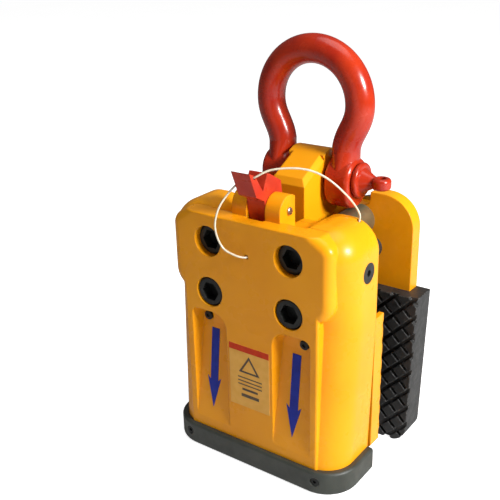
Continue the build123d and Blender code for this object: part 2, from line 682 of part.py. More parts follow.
def front_jaw_plate():
    centre_z = (JAW_TOP + JAW_BOTTOM) / 2
    face = Pos(0, centre_z) * Rectangle(2 * JAW_HALF, JAW_TOP - JAW_BOTTOM)
    face = chamfer(face.vertices().group_by(Axis.Y)[0], 4.0)
    plate = front_profile(face, JAW_FRONT, JAW_BACK)
    for x, z in FRONT_PAD_SCREWS:
        plate -= csk_hole(x, z, JAW_FRONT, PAD_SCREW_R, FRONT_PAD_SCREW_LEN, 1)
    for x, z in bracket_screw_spots():
        plate -= rod_y(x, JAW_FRONT - 1, JAW_BACK - 2, z, 2.55)
    for z in GUIDE_ROD_Z:
        hole = rod_y(GUIDE_ROD_X, JAW_FRONT - 1, JAW_BACK + 1, z, GUIDE_ROD_R - 2.0)
        plate = plate - hole - other_side(hole)
    post = rod_y(SPRING_X, JAW_FRONT - 1, JAW_FRONT + 5, SPRING_Z, 3.05)
    plate = plate - post - other_side(post)
    rim = box(JAW_HALF - RIM_T, JAW_HALF, JAW_BACK - 1, RIM_BACK, JAW_BOTTOM + 4, JAW_TOP)
    # the back of each rim is gently waved
    for step in range(WAVE_COUNT):
        wave_y = RIM_BACK + WAVE_R - WAVE_DEEP
        rim -= rod_x(0, JAW_HALF + 1, wave_y, WAVE_LOW + step * WAVE_PITCH, WAVE_R)
    return plate + rim + other_side(rim)


def front_pad():
    centre_z = (JAW_TOP + JAW_BOTTOM) / 2 - 1
    high = JAW_TOP - JAW_BOTTOM - 4
    face = Pos(0, centre_z) * Rectangle(2 * FRONT_PAD_HALF, high)
    pad = front_profile(face, JAW_BACK, FRONT_PAD_FACE)
    for cut in tread_grooves(FRONT_PAD_HALF, centre_z - high / 2, centre_z + high / 2, FRONT_PAD_FACE):
        pad -= cut
    for x, z in FRONT_PAD_SCREWS:
        pad -= csk_hole(x, z, JAW_FRONT, PAD_SCREW_R, FRONT_PAD_SCREW_LEN, 1)
    return pad


def front_pad_screws():
    return [csk_screw_back(x, z, JAW_FRONT, PAD_SCREW_R, FRONT_PAD_SCREW_LEN, 1) for x, z in FRONT_PAD_SCREWS]


def bracket_screw_spots():
    spots = []
    for _, z in roller_heights():
        for lift in (-8.0, 8.0):
            spots += [(30.0, z + lift), (-30.0, z + lift)]
    return spots


def roller_brackets():
    """L-shaped cheeks screwed to the jaw plate, one each side of each roller."""
    out = []
    for y, z in roller_heights():
        low, high = z - BRACKET_HIGH, z + BRACKET_HIGH
        cheek = box(CHEEK_IN, CHEEK_OUT, y - CHEEK_FRONT_OF_ROLLER, JAW_FRONT, low, high)
        nose = cheek.edges().filter_by(Axis.X).group_by(Axis.Y)[0]
        cheek = fillet(nose, 7.0)
        flange = box(CHEEK_OUT - 1, FLANGE_OUT, JAW_FRONT - FLANGE_T, JAW_FRONT, low, high)
        bracket = cheek + flange - rod_x(0, 50, y, z, ROLLER_PIN_R + 0.02)
        for sx, sz in bracket_screw_spots():
            bracket -= csk_hole(sx, sz, JAW_FRONT - FLANGE_T, 2.5, 11.0, 1)
        out += pair(bracket)
    return out


def bracket_screws():
    return [csk_screw_back(x, z, JAW_FRONT - FLANGE_T, 2.5, 11.0, 1) for x, z in bracket_screw_spots()]


CLIP_GROOVE = 25.0
CLIP_T = 1.0


def roller_pins():
    out = []
    for y, z in roller_heights():
        pin = rod_x(-27.0, 27.0, y, z, ROLLER_PIN_R)
        pin = chamfer(pin.edges().filter_by(GeomType.CIRCLE), 0.6)
        for x0 in (CLIP_GROOVE - 0.05, -CLIP_GROOVE - CLIP_T - 0.05):
            ring = rod_x(x0, x0 + CLIP_T + 0.1, y, z, ROLLER_PIN_R + 1)
            pin -= ring - rod_x(x0, x0 + CLIP_T + 0.1, y, z, ROLLER_PIN_R - 1.0)
        out.append(pin)
    return out


def pin_clips():
    """Snap rings in the grooves at the ends of the roller pins."""
    out = []
    for y, z in roller_heights():
        ring = rod_x(CLIP_GROOVE, CLIP_GROOVE + CLIP_T, y, z, ROLLER_PIN_R + 2.5)
        ring -= rod_x(0, 50, y, z, ROLLER_PIN_R - 0.95)
        ring -= box(0, 50, y - 3.0, y + 3.0, z, z + 20)
        out += pair(ring)
    return out


def cam_roller(index):
    y, z = roller_heights()[index]
    roller = rod_x(-LUG_HALF + 0.5, LUG_HALF - 0.5, y, z, ROLLER_R)
    roller = chamfer(roller.edges().filter_by(GeomType.CIRCLE), 0.8)
    return roller - rod_x(-50, 50, y, z, ROLLER_PIN_R + RUN)


GUIDE_ROD_FRONT = 17.0


def jaw_guide_rods():
    """Rods riveted into the jaw plate that slide in the bushings."""
    out = []
    for z in GUIDE_ROD_Z:
        rod = rod_y(GUIDE_ROD_X, GUIDE_ROD_FRONT, JAW_FRONT, z, GUIDE_ROD_R)
        rod = chamfer(rod.edges().filter_by(GeomType.CIRCLE).group_by(Axis.Y)[0], 1.0)
        rod += rod_y(GUIDE_ROD_X, JAW_FRONT, JAW_BACK, z, GUIDE_ROD_R - 2.02)
        out += pair(rod)
    return out


def guide_bushings():
    out = []
    for z in GUIDE_ROD_Z:
        bush = rod_y(GUIDE_ROD_X, HOUSING_FRONT, CASING_DEPTH + 0.5, z, BUSH_R - 0.02)
        out += pair(bush - rod_y(GUIDE_ROD_X, 0, 100, z, GUIDE_ROD_R + RUN))
    return out


SPRING_COIL_R = 5.0
SPRING_WIRE_R = 0.8
SPRING_START = 22.0
SPRING_END = 47.0
SPRING_TURNS = 9


def jaw_return_springs():
    """Tension springs that draw the jaw back towards the casing."""
    length = SPRING_END - SPRING_START
    path = Helix(pitch=length / SPRING_TURNS, height=length, radius=SPRING_COIL_R)
    start = path @ 0
    section = Plane(origin=start, z_dir=path % 0) * Circle(SPRING_WIRE_R)
    coil = sweep(section, path=path)
    spring = Pos(SPRING_X, SPRING_START, SPRING_Z) * Rot(-90, 0, 0) * coil
    return pair(spring)


def spring_posts_front():
    """Headed studs in the casing wall; the first coils hook over them."""
    root = CHANNEL_DEEP + 2.2
    post = rod_y(SPRING_X, root, SPRING_START + 3, SPRING_Z, 3.0)
    post += rod_y(SPRING_X, SPRING_START + 3, SPRING_START + 4.5, SPRING_Z, 3.9)
    post += rod_y(SPRING_X, CHANNEL_DEEP + 5.6, SPRING_START - 2, SPRING_Z, 6.0)
    return pair(post)


def spring_posts_rear():
    post = rod_y(SPRING_X, SPRING_END - 3, JAW_FRONT + 4.8, SPRING_Z, 3.0)
    post += rod_y(SPRING_X, SPRING_END - 4.5, SPRING_END - 3, SPRING_Z, 3.9)
    post += rod_y(SPRING_X, SPRING_END + 2, JAW_FRONT - 0.1, SPRING_Z, 5.5)
    return pair(post)


# ----------------------------- lifting lug ---------------------------------
STEM_FRONT = 8.0
STEM_BACK = 19.5
RAMP_TIP = CONTACT_Y + JAW_TRAVEL
LUG_BOTTOM = 24.0


def ramp_z(contact_z, y):
    """Height of a ramp at depth y with the jaw open."""
    return contact_z + (CONTACT_Y - y) / RAMP


def lifting_lug():
    """Eye, arm, stem and two stepped ramps in one forging."""
    upper_tip = ramp_z(UPPER_CONTACT_Z, RAMP_TIP)
    lower_tip = ramp_z(LOWER_CONTACT_Z, RAMP_TIP)
    shelf = LOWER_CONTACT_Z + 14
    bridge = UPPER_CONTACT_Z + 16
    outline = [
        (STEM_FRONT, LUG_BOTTOM), (RAMP_TIP, LUG_BOTTOM), (RAMP_TIP, lower_tip),
        (STEM_BACK, ramp_z(LOWER_CONTACT_Z, STEM_BACK)), (STEM_BACK, shelf), (37.0, shelf),
        (40.0, upper_tip - 2), (RAMP_TIP, upper_tip - 2), (RAMP_TIP, upper_tip),
        (STEM_BACK, ramp_z(UPPER_CONTACT_Z, STEM_BACK)), (STEM_BACK, bridge), (47.0, bridge),
        (51.0, 138.5), (56.0, 143.0), (70.0, 175.0), (89.7, 187.4), (105.0, 197.0),
        (105.5, 206.0), (PIN_Y + LUG_EYE_R * cos(0.45), PIN_Z - LUG_EYE_R * sin(0.45)),
        (PIN_Y, PIN_Z), (PIN_Y - LUG_EYE_R * sin(0.436), PIN_Z + LUG_EYE_R * cos(0.436)),
        (57.0, 231.5), (54.0, 226.0), (54.0, 196.0), (44.0, 166.0), (34.0, 153.0), (STEM_FRONT, 153.0),
    ]
    lug = side_profile(outline, LUG_HALF)
    lug += rod_x(-LUG_HALF, LUG_HALF, PIN_Y, PIN_Z, LUG_EYE_R)
    lug -= rod_x(-50, 50, PIN_Y, PIN_Z, LUG_BORE_R)
    # slim the flanks round the eye so the shackle can swing
    for side in (1, -1):
        slope = Plane(origin=(side * LUG_HALF, 54.0, 226.0), z_dir=(side * 1.0, -0.45, 0.9))
        lug -= slope * Pos(0, 0, 25) * Box(200, 60, 50)
    rib = box(-GUIDE_RIB_HALF, GUIDE_RIB_HALF, *GUIDE_RIB_Y, *GUIDE_RIB_Z)
    return lug + rib


# ----------------------------- shackle -------------------------------------
def shackle_bow():
    """Bow shackle: round stock swept through a bow, flattened into two long eyes."""
    eye_mid = EYE_GAP_HALF + EYE_THICK / 2
    crown = PIN_Z + SHACKLE_PIN_R + BOW_INSIDE + STOCK_R
    bow_r = BOW_HALF_INNER + STOCK_R
    bow_z = crown - bow_r
    neck_z = PIN_Z + NECK_RISE

    def at(x, z):
        return (x, PIN_Y, z)

    # one leg from the eye to the crown; the other is its mirror image
    diagonal = bow_r * sin(pi / 4)
    leg = Spline(at(eye_mid, neck_z), at(bow_r, bow_z), tangents=[(0.15, 0, 1), (0, 0, 1)])
    arc = ThreePointArc(at(bow_r, bow_z), at(diagonal, bow_z + diagonal), at(0, crown))
    wire = Wire([leg, arc])
    ring = Plane(origin=wire @ 0, z_dir=wire % 0) * Circle(STOCK_R)
    half = sweep(ring, path=wire)
    # the eye: two round ends one above the other, and a neck that narrows into the leg
    span = (EYE_GAP_HALF, EYE_GAP_HALF + EYE_THICK)
    eye = rod_x(*span, PIN_Y, PIN_Z, EYE_R) + rod_x(*span, PIN_Y, PIN_Z - EYE_DROP, EYE_R)
    eye += box(*span, PIN_Y - EYE_R, PIN_Y + EYE_R, PIN_Z - EYE_DROP, PIN_Z)
    rims = eye.edges().group_by(Axis.X)
    eye = fillet(rims[0] + rims[-1], 4.0)
    wide = Pos(eye_mid, PIN_Y, PIN_Z) * Ellipse(NECK_HALF_T, EYE_R - 0.5)
    half = half + loft([wide, ring]) + eye
    half -= rod_x(0, 100, PIN_Y, PIN_Z, SHACKLE_PIN_R + RUN)
    half -= box(0, EYE_GAP_HALF, PIN_Y - 30, PIN_Y + 30, PIN_Z - 30, PIN_Z + NECK_RISE)
    return half + other_side(half)


NECK_RISE = 24.0
NECK_HALF_T = 9.0
COLLAR_R = 14.0
COLLAR_END = 45.5
TONGUE_X = 60.5
TONGUE_R = 7.5
TONGUE_HOLE_R = 3.5
TONGUE_HALF_T = 4.5


def shackle_pin():
    """Screw pin with a collar, a tapered neck and a round tongue with a hole."""
    outer = EYE_GAP_HALF + EYE_THICK
    pin = rod_x(-outer - 1.5, outer + 1, PIN_Y, PIN_Z, SHACKLE_PIN_R)
    pin = chamfer(pin.edges().filter_by(GeomType.CIRCLE).group_by(Axis.X)[0], 1.5)
    collar = rod_x(outer + 0.3, COLLAR_END, PIN_Y, PIN_Z, COLLAR_R)
    collar = fillet(collar.edges().filter_by(GeomType.CIRCLE), 2.0)
    neck = cone_x(COLLAR_END - 0.5, TONGUE_X - TONGUE_HOLE_R - 1, PIN_Y, PIN_Z, 10.0, TONGUE_HALF_T - 0.6)
    tongue = Pos(TONGUE_X, PIN_Y, PIN_Z) * Cylinder(TONGUE_R, 2 * TONGUE_HALF_T)
    tongue = fillet(tongue.edges().filter_by(GeomType.CIRCLE), 2.5)
    eye = Pos(TONGUE_X, PIN_Y, PIN_Z) * Cylinder(TONGUE_HOLE_R, 40)
    return pin + collar + neck + tongue - eye


# ----------------------------- latch ---------------------------------------
WIRE_IN = (-8.0, 6.0, 240.0)
WIRE_OUT = (8.0, 1.5, 246.5)


def latch_lever():
    """Fork-shaped hand lever; its toe points down between the ears."""
    outline = [
        (-5.0, 250.5), (2.0, 247.5), (11.6, 233.3), (17.0, 245.5), (20.5, 244.5), (34.5, 236.0),
        (37.0, 221.5), (30.0, 222.0), (27.0, 209.0), (16.5, 207.5), (13.0, 225.5), (3.3, 230.7),
    ]
    lever = side_profile(outline, LATCH_HALF)
    lever += rod_x(-LATCH_HALF, LATCH_HALF, LATCH_Y, LATCH_Z, 8.0)
    lever -= rod_x(-50, 50, LATCH_Y, LATCH_Z, LATCH_PIN_R + RUN)
    # pocket for the torsion spring on the left of the hub
    lever -= rod_x(-LATCH_HALF - 1, -4.0, LATCH_Y, LATCH_Z, 7.0)
    # slanted hole for the release wire through the front prong
    return lever - rod_between(WIRE_IN, WIRE_OUT, 1.6, 6.0)


def latch_pin():
    pin = rod_x(-BOSS_OUT - 1.5, BOSS_OUT + 1.5, LATCH_Y, LATCH_Z, LATCH_PIN_R)
    pin += rod_x(-BOSS_OUT - 2.5, -BOSS_OUT - 0.2, LATCH_Y, LATCH_Z, 4.2)
    return chamfer(pin.edges().filter_by(GeomType.CIRCLE).group_by(Axis.X)[-1], 0.5)


def latch_spring():
    """Two turns of wire in the pocket beside the hub."""
    wire_r = 0.6
    path = Helix(pitch=1.4, height=2.6, radius=5.0)
    section = Plane(origin=path @ 0, z_dir=path % 0) * Circle(wire_r)
    coil = sweep(section, path=path)
    return Pos(-7.3, LATCH_Y, LATCH_Z) * Rot(0, 90, 0) * coil


# ----------------------------- release wire --------------------------------
WIRE_R = 0.75
WIRE_HOLE_Z = 184.5
ANCHOR = (67.0, 47.0)


def anchor_hole():
    return rod_between((*ANCHOR, 206.0), (*ANCHOR, 230.0), 1.6, 0)


def release_wire():
    """From the hole in the front, through the lever, over to the right shoulder."""
    points = [
        (0, 3.5, WIRE_HOLE_Z), (-0.3, -1.0, WIRE_HOLE_Z), (-6.0, -5.5, 186.5),
        (-14.9, -9.0, 192.3), (-19.4, -11.0, 206.7), (-18.9, -7.0, 220.5), (-14.7, 1.0, 231.8),
        WIRE_IN, WIRE_OUT, (18.6, 7.6, 252.2), (36.0, 17.6, 253.2),
        (49.8, 25.5, 248.0), (62.4, 34.5, 234.7), (*ANCHOR, 218.0), (*ANCHOR, 208.0),
    ]
    path = Spline(*points)
    section = Plane(origin=path @ 0, z_dir=path % 0) * Circle(WIRE_R)
    return sweep(section, path=path)


# ----------------------------- decals and small screws ---------------------
ARROW_X = 38.8
ARROW_TOP = 111.0
ARROW_TIP = 41.0
DECAL_T = 0.3
LABEL = (19.0, 54.0, 109.0)


def channel_floor_y(z):
    """Depth of the channel floor at height z."""
    slope = CHANNEL_DEEP / (CHANNEL_LEVEL - CHANNEL_END)
    return (z - CHANNEL_END) * slope


def arrow_decals():
    """Down arrows lying on the sloping channel floors."""
    shaft, head, neck = 3.8, 6.8, 65.0
    flat = Polyline((-shaft, ARROW_TOP), (shaft, ARROW_TOP), (shaft, neck), (head, neck + 3),
                    (0, ARROW_TIP), (-head, neck + 3), (-shaft, neck), close=True)
    block = front_profile(Pos(ARROW_X, 0) * make_face(flat), -5, 20)
    low, high = 35.0, 111.0
    skin = side_profile(
        [(channel_floor_y(low) - DECAL_T, low), (channel_floor_y(low), low),
         (channel_floor_y(high), high), (channel_floor_y(high) - DECAL_T, high)], 100)
    return pair(block & skin)


def label_plate():
    half, low, high = LABEL
    return box(-half, half, -DECAL_T, 0, low, high)


def channel_screws():
    x, z = CHANNEL_SCREW
    head = rod_y(x, CHANNEL_DEEP - 2.0, CHANNEL_DEEP, z, 4.0)
    head = fillet(head.edges().filter_by(GeomType.CIRCLE).group_by(Axis.Y)[0], 1.0)
    screw = head + rod_y(x, CHANNEL_DEEP - 0.5, CHANNEL_DEEP + 7.5, z, 2.5)
    return pair(screw - hex_y(x, CHANNEL_DEEP - 3, CHANNEL_DEEP - 0.8, z, 3.0))


# ----------------------------- write the nodes -----------------------------
NODES = {
    "casing_shell": casing_shell,
    "casing_back_cover": casing_back_cover,
    "cover_screws": cover_screws,
    "side_screws": side_screws,
    "front_wear_plate": wear_plate,
    "lug_guide_blocks": lug_guide_blocks,
    "guide_block_screws": guide_block_screws,
    "foot_bumper": foot_bumper,
    "foot_screws": foot_screws,
    "tie_bolts_upper": lambda: tie_bolts(UPPER_BOLT_Z, UPPER_HEAD_Y),
    "tie_bolts_lower": lambda: tie_bolts(LOWER_BOLT_Z, LOWER_HEAD_Y),
    "tie_bars_upper": lambda: tie_bars(UPPER_BOLT_Z, UPPER_BAR_R),
    "tie_bars_lower": lambda: tie_bars(LOWER_BOLT_Z, LOWER_BAR_R),
    "rear_tie_bolts": rear_tie_bolts,
    "rear_tie_washers": rear_washers,
    "rear_jaw_plate": rear_jaw_plate,
    "rear_pad": rear_pad,
    "rear_pad_screws": rear_pad_screws,
    "slab_buffers": slab_buffers,
    "buffer_screws": buffer_screws,
    "front_jaw_plate": front_jaw_plate,
    "front_pad": front_pad,
    "front_pad_screws": front_pad_screws,
    "roller_brackets": roller_brackets,
    "bracket_screws": bracket_screws,
    "roller_pins": roller_pins,
    "pin_clips": pin_clips,
    "cam_roller_upper": lambda: cam_roller(0),
    "cam_roller_lower": lambda: cam_roller(1),
    "jaw_guide_rods": jaw_guide_rods,
    "guide_bushings": guide_bushings,
    "jaw_return_springs": jaw_return_springs,
    "spring_posts_front": spring_posts_front,
    "spring_posts_rear": spring_posts_rear,
    "lifting_lug": lifting_lug,
    "shackle_bow": shackle_bow,
    "shackle_pin": shackle_pin,
    "latch_lever": latch_lever,
    "latch_pin": latch_pin,
    "latch_spring": latch_spring,
    "release_wire": release_wire,
    "arrow_decals": arrow_decals,
    "label_plate": label_plate,
    "channel_screws": channel_screws,
}

os.makedirs("parts", exist_ok=True)
for name, build in NODES.items():
    save(build(), name)
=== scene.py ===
import json
from math import cos, pi, radians, sin

import bpy
from mathutils import Matrix, Vector

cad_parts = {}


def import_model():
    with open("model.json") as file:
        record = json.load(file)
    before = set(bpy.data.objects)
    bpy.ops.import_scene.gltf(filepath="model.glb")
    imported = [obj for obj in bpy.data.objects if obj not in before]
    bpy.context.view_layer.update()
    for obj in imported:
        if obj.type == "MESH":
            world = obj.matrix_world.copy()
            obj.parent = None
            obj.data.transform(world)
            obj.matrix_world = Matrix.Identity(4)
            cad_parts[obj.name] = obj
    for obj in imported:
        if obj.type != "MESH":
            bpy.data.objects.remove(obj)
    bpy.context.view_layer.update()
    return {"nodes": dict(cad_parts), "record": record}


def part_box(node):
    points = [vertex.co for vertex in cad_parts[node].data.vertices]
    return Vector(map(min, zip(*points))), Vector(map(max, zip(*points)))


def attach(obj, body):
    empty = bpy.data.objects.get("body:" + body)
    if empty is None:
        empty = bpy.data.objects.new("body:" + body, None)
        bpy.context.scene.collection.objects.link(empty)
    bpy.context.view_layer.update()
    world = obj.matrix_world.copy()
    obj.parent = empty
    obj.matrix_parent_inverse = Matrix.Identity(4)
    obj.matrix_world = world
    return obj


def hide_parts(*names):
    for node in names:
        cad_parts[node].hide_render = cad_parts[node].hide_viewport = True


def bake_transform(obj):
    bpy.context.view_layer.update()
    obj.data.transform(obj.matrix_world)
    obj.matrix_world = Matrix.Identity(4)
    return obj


# ---------------------------------------------------------------------------
# Looks of the slab lifting clamp. Metres, Z up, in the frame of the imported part.
# Pieces are drawn in millimetres; depth is measured back from the casing's front.
# ---------------------------------------------------------------------------
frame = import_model()
nodes = frame["nodes"]

MM = 0.001
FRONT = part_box("casing_shell")[0].y      # the casing's front plane


def at(x, y, z):
    """A point given in millimetres across, back from the casing's front, and up."""
    return Vector((x * MM, y * MM + FRONT, z * MM))


# ------------------------------ materials ----------------------------------
class Graph:
    """A node-based material under construction."""

    def __init__(self, name):
        self.material = bpy.data.materials.new(name)
        self.material.use_nodes = True
        self.tree = self.material.node_tree
        self.shader = self.tree.nodes["Principled BSDF"]
        self.place = self.add("ShaderNodeTexCoord").outputs["Object"]

    def add(self, kind, **inputs):
        made = self.tree.nodes.new(kind)
        for name, value in inputs.items():
            self.feed(made.inputs[name.replace("_", " ")], value)
        return made

    def feed(self, socket, value):
        if isinstance(value, bpy.types.NodeSocket):
            self.tree.links.new(value, socket)
        else:
            socket.default_value = value

    def noise(self, scale, detail=3.0):
        return self.add("ShaderNodeTexNoise", Vector=self.place, Scale=scale, Detail=detail).outputs[0]

    def math(self, operation, a, b=0.0):
        made = self.tree.nodes.new("ShaderNodeMath")
        made.operation = operation
        self.feed(made.inputs[0], a)
        self.feed(made.inputs[1], b)
        return made.outputs[0]

    def ramp(self, value, low, high, to_low=0.0, to_high=1.0):
        made = self.add("ShaderNodeMapRange", Value=value)
        made.inputs["From Min"].default_value = low
        made.inputs["From Max"].default_value = high
        made.inputs["To Min"].default_value = to_low
        made.inputs["To Max"].default_value = to_high
        return made.outputs[0]

    def mix(self, share, first, second):
        made = self.tree.nodes.new("ShaderNodeMix")
        made.data_type = "RGBA"
        self.feed(made.inputs[0], share)
        self.feed(made.inputs[6], first)
        self.feed(made.inputs[7], second)
        return made.outputs[2]

    def soft_normal(self, radius):
        made = self.add("ShaderNodeBevel", Radius=radius)
        made.samples = 4
        return made.outputs[0]

    def edges(self, soft):
        """1 along sharp edges and 0 on open faces: how far the soft normal leans from the true one."""
        flat = self.add("ShaderNodeNewGeometry").outputs["Normal"]
        made = self.tree.nodes.new("ShaderNodeVectorMath")
        made.operation = "DOT_PRODUCT"
        self.feed(made.inputs[0], flat)
        self.feed(made.inputs[1], soft)
        return self.ramp(made.outputs["Value"], 0.995, 0.80)


def rgb(red, green, blue):
    return (red, green, blue, 1.0)


EDGE_PATCH_SCALE = 420.0          # size of the patches along the tinted edges: scuffs in the paint, a painted highlight on the rubber tread
EDGE_PATCH_DETAIL = 6.0
GLOSS_TO_PATCH = 2.7         # gloss varies this much finer than colour does
COAT_ROUGHNESS = 0.12
BUMP_DEPTH = 0.5             # millimetres

def finish(name, colour, second, patch, roughness, metallic=0.0, coat=0.0, grain=(900.0, 0.05),
           rounding=0.6, edge_tint=None, edge_tint_share=0.0, smudge=0.08, sheen=0.5):
    """Base colour that drifts between two shades, uneven gloss, fine grain, eased edges and a second colour
    along them.

    patch is the scale of the colour drift, and grain the scale and strength of the surface bump.
    rounding is how far sharp edges are eased, in millimetres. edge_tint is the colour laid along the edges:
    the colour under the paint where it is worn through, and a painted highlight on the rubber tread.
    edge_tint_share is how much of it shows. smudge is how far the gloss varies.
    """
    g = Graph(name)
    soft = g.soft_normal(rounding * MM)
    base = g.mix(g.ramp(g.noise(patch), 0.35, 0.68), colour, second)
    if edge_tint:
        # patches along the edges take edge_tint: worn paint on painted parts, a painted highlight on the
        # rubber tread
        edge_patches = g.ramp(g.noise(EDGE_PATCH_SCALE, EDGE_PATCH_DETAIL), 0.50, 0.62)
        base = g.mix(g.math("MULTIPLY", g.math("MULTIPLY", g.edges(soft), edge_patches), edge_tint_share), base, edge_tint)
    g.feed(g.shader.inputs["Base Color"], base)
    gloss = g.ramp(g.noise(patch * GLOSS_TO_PATCH, 5.0), 0.3, 0.7, roughness - smudge, roughness + smudge)
    g.feed(g.shader.inputs["Roughness"], gloss)
    g.shader.inputs["Metallic"].default_value = metallic
    g.shader.inputs["Specular IOR Level"].default_value = sheen
    g.shader.inputs["Coat Weight"].default_value = coat
    g.shader.inputs["Coat Roughness"].default_value = COAT_ROUGHNESS
    bump = g.add("ShaderNodeBump", Height=g.noise(grain[0], 4.0), Normal=soft, Strength=grain[1])
    bump.inputs["Distance"].default_value = BUMP_DEPTH * MM
    g.feed(g.shader.inputs["Normal"], bump.outputs[0])
    return g.material


YELLOW = finish("yellow_paint", rgb(0.82, 0.300, 0.003), rgb(0.88, 0.350, 0.005), 14.0, 0.30, coat=0.08,
                grain=(380.0, 0.05), rounding=1.3, edge_tint=rgb(0.33, 0.20, 0.05), edge_tint_share=0.35, sheen=0.22)
RED_FORGED = finish("red_shackle_paint", rgb(0.43, 0.028, 0.005), rgb(0.33, 0.014, 0.005), 40.0, 0.25,
                    coat=0.2, grain=(170.0, 0.18), rounding=1.2, edge_tint=rgb(0.16, 0.02, 0.01), edge_tint_share=0.4,
                    sheen=0.35)
RED_LATCH = finish("red_latch_paint", rgb(0.54, 0.045, 0.014), rgb(0.42, 0.025, 0.012), 60.0, 0.34,
                   grain=(300.0, 0.12), rounding=0.7, edge_tint=rgb(0.18, 0.05, 0.04), edge_tint_share=0.6, sheen=0.25)
BLACK_OXIDE = finish("black_screws", rgb(0.012, 0.013, 0.012), rgb(0.025, 0.026, 0.024), 120.0, 0.38,
                     metallic=0.2, grain=(1500.0, 0.10), rounding=0.5, edge_tint=rgb(0.10, 0.09, 0.08), edge_tint_share=0.4,
                     sheen=0.25)
ZINC = finish("zinc_steel", rgb(0.40, 0.41, 0.42), rgb(0.48, 0.48, 0.48), 90.0, 0.34, metallic=1.0,
              grain=(1200.0, 0.10), rounding=0.4, edge_tint=rgb(0.25, 0.24, 0.22), edge_tint_share=0.4)
BAR_STEEL = finish("bar_steel", rgb(0.24, 0.21, 0.11), rgb(0.34, 0.30, 0.18), 70.0, 0.40, metallic=0.8,
                   grain=(700.0, 0.25), rounding=0.5, edge_tint=rgb(0.45, 0.43, 0.40), edge_tint_share=0.5)
GROUND = finish("ground_steel", rgb(0.36, 0.36, 0.37), rgb(0.43, 0.43, 0.44), 110.0, 0.30, metallic=1.0,
                grain=(2500.0, 0.05), rounding=0.3)
SPRING = finish("spring_steel", rgb(0.24, 0.24, 0.25), rgb(0.32, 0.31, 0.30), 300.0, 0.35, metallic=1.0,
                grain=(2500.0, 0.05), rounding=0.2)
BRONZE = finish("bronze", rgb(0.50, 0.30, 0.10), rgb(0.58, 0.37, 0.15), 120.0, 0.33, metallic=1.0,
                grain=(1800.0, 0.08), rounding=0.3)
# the lighter colour along the tread edges is a painted highlight, standing in for glints on the tread lumps
RUBBER = finish("black_rubber", rgb(0.010, 0.010, 0.010), rgb(0.022, 0.022, 0.021), 75.0, 0.52,
                grain=(520.0, 0.45), rounding=1.3, edge_tint=rgb(0.16, 0.16, 0.15), edge_tint_share=0.9)
FOOT = finish("foot_rubber", rgb(0.028, 0.032, 0.026), rgb(0.042, 0.047, 0.038), 60.0, 0.48,
              grain=(1100.0, 0.22), rounding=1.0, edge_tint=rgb(0.12, 0.12, 0.115), edge_tint_share=0.7)
SLEEVE = finish("wire_sleeve", rgb(0.66, 0.60, 0.46), rgb(0.56, 0.50, 0.38), 300.0, 0.30, coat=0.2,
                grain=(2500.0, 0.05), rounding=0.1)
ARROW = finish("arrow_blue", rgb(0.010, 0.028, 0.36), rgb(0.008, 0.020, 0.28), 160.0, 0.45,
               grain=(1600.0, 0.05), rounding=0.2, sheen=0.2)
LABEL = finish("label_tan", rgb(0.76, 0.38, 0.065), rgb(0.82, 0.43, 0.085), 130.0, 0.42,
               grain=(1500.0, 0.05), rounding=0.2, sheen=0.2)
BAND = finish("label_band", rgb(0.62, 0.05, 0.012), rgb(0.54, 0.035, 0.012), 220.0, 0.45,
              grain=(1500.0, 0.05), rounding=0.1, sheen=0.1)
INK = finish("label_ink", rgb(0.05, 0.03, 0.012), rgb(0.09, 0.05, 0.02), 300.0, 0.45,
             grain=(1500.0, 0.05), rounding=0.1)

FINISH_OF_SLOT = {
    "yellow_paint": YELLOW, "black_screws": BLACK_OXIDE, "zinc_steel": ZINC, "bar_steel": BAR_STEEL,
    "ground_steel": GROUND, "spring_steel": SPRING, "bronze": BRONZE, "black_rubber": RUBBER,
    "foot_rubber": FOOT, "red_shackle_paint": RED_FORGED, "red_latch_paint": RED_LATCH,
    "wire_sleeve": SLEEVE, "arrow_blue": ARROW, "label_tan": LABEL,
}

for part in frame["record"]["subparts"]:
    cad_mesh = nodes[part["node"]].data
    cad_mesh.materials.clear()
    cad_mesh.materials.append(FINISH_OF_SLOT[part["material_slot"]])


# ------------------------------ mesh helpers -------------------------------
def mesh_object(name, points, faces, material, smooth=False):
    mesh = bpy.data.meshes.new(name)
    mesh.from_pydata([tuple(p) for p in points], [], faces)
    mesh.validate()
    mesh.polygons.foreach_set("use_smooth", [smooth] * len(mesh.polygons))
    mesh.materials.append(material)
    made = bpy.data.objects.new(name, mesh)
    bpy.context.scene.collection.objects.link(made)
    return made


def smooth_path(points, steps):
    """Catmull-Rom curve through the points."""
    padded = [2 * points[0] - points[1]] + points + [2 * points[-1] - points[-2]]
    path = []
    for a, b, c, d in zip(padded, padded[1:], padded[2:], padded[3:]):
        for i in range(steps):
            t = i / steps
            path.append(0.5 * (2 * b + (c - a) * t + (2 * a - 5 * b + 4 * c - d) * t * t
                               + (3 * b - a - 3 * c + d) * t ** 3))
    return path + [points[-1]]


def tube(name, path, radius, material, sides=14):
    """A closed round tube along a path."""
    across = (path[1] - path[0]).orthogonal().normalized()
    points, faces = [], []
    for i, centre in enumerate(path):
        along = (path[min(i + 1, len(path) - 1)] - path[max(i - 1, 0)]).normalized()
        across = (across - along * across.dot(along)).normalized()
        other = along.cross(across)
        for k in range(sides):
            turn = 2 * pi * k / sides
            points.append(centre + radius * (across * cos(turn) + other * sin(turn)))
    for i in range(len(path) - 1):
        for k in range(sides):
            a, b = i * sides + k, i * sides + (k + 1) % sides
            faces.append((a, b, b + sides, a + sides))
    last = (len(path) - 1) * sides
    faces.append(tuple(range(sides - 1, -1, -1)))
    faces.append(tuple(range(last, last + sides)))
    return mesh_object(name, points, faces, material, smooth=True)


